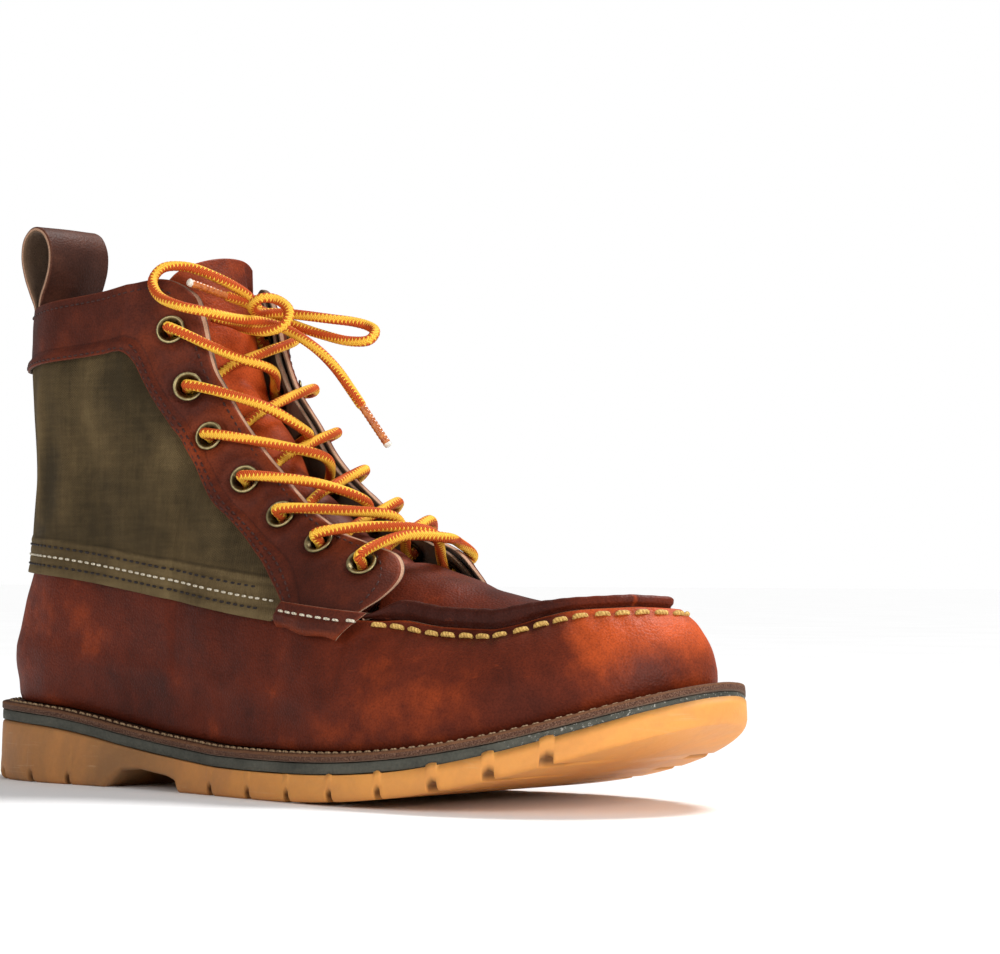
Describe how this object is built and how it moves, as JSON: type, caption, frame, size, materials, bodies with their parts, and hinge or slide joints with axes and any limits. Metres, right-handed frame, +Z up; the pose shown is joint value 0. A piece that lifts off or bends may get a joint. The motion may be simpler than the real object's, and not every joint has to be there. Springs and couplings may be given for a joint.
{
  "type": "moccasin toe lace-up boot",
  "caption": "Ankle-high moccasin toe boot, right foot, laced and tied, with canvas quarters and a pull loop.",
  "frame": {"origin": "bottom centre of the assembly's bounding box, on the ground under the middle of the sole", "axes": "+X to the toe, +Y to the medial side, +Z up; right foot"},
  "size_m": [0.3037, 0.1073, 0.2],
  "materials": {
    "gum": "satin amber gum rubber",
    "midsole": "matt dark grey-green",
    "welt": "brown leather strip",
    "cork": "pressed cork and binder",
    "steel": "spring steel strip",
    "insole": "natural leather board",
    "leather": "oiled oxblood brown",
    "vamp": "oiled red-brown",
    "lining": "rough flesh side",
    "canvas": "waxed olive canvas",
    "brass": "antique brass",
    "lace": "round braid, gold with rust stripes",
    "thread": "waxed thread",
    "aglet": "clear film tip"
  },
  "bodies": {
    "boot": {"outsole": "gum", "midsole": "midsole", "welt": "welt", "cork_filler": "cork", "shank": "steel", "insole": "insole", "welt_thread": "thread", "vamp_lower": "vamp", "apron": "vamp", "apron_thread": "thread", "heel_counter": "lining", "heel_lining": "lining", "canvas_quarter_outer": "canvas", "facing_outer": "leather", "facing_backing_outer": "lining", "eyestay_tab_outer": "leather", "eyelet_outer_1": "brass", "eyelet_outer_2": "brass", "eyelet_outer_3": "brass", "eyelet_outer_4": "brass", "eyelet_outer_5": "brass", "eyelet_outer_6": "brass", "eyelet_outer_7": "brass", "canvas_quarter_inner": "canvas", "facing_inner": "leather", "facing_backing_inner": "lining", "eyestay_tab_inner": "leather", "eyelet_inner_1": "brass", "eyelet_inner_2": "brass", "eyelet_inner_3": "brass", "eyelet_inner_4": "brass", "eyelet_inner_5": "brass", "eyelet_inner_6": "brass", "eyelet_inner_7": "brass", "back_strip": "leather", "pull_loop_tail": "leather", "lace": "lace", "lace_bow": "lace", "aglet_outer": "aglet", "aglet_inner": "aglet"},
    "tongue": {"tongue": "leather"},
    "pull_loop": {"pull_loop": "leather"}
  },
  "joints": [
    {"name": "tongue_fold", "type": "hinge", "parent": "boot", "child": "tongue", "pos_m": [0.043, 0, 0.071], "axis": [0, 1, 0], "range_deg": [-10, 0], "stiffness_Nm_per_rad": 0.8},
    {"name": "pull_loop_fold", "type": "hinge", "parent": "boot", "child": "pull_loop", "pos_m": [-0.1392, 0, 0.1708], "axis": [0, 1, 0], "range_deg": [-60, 45], "stiffness_Nm_per_rad": 0.05}
  ]
}
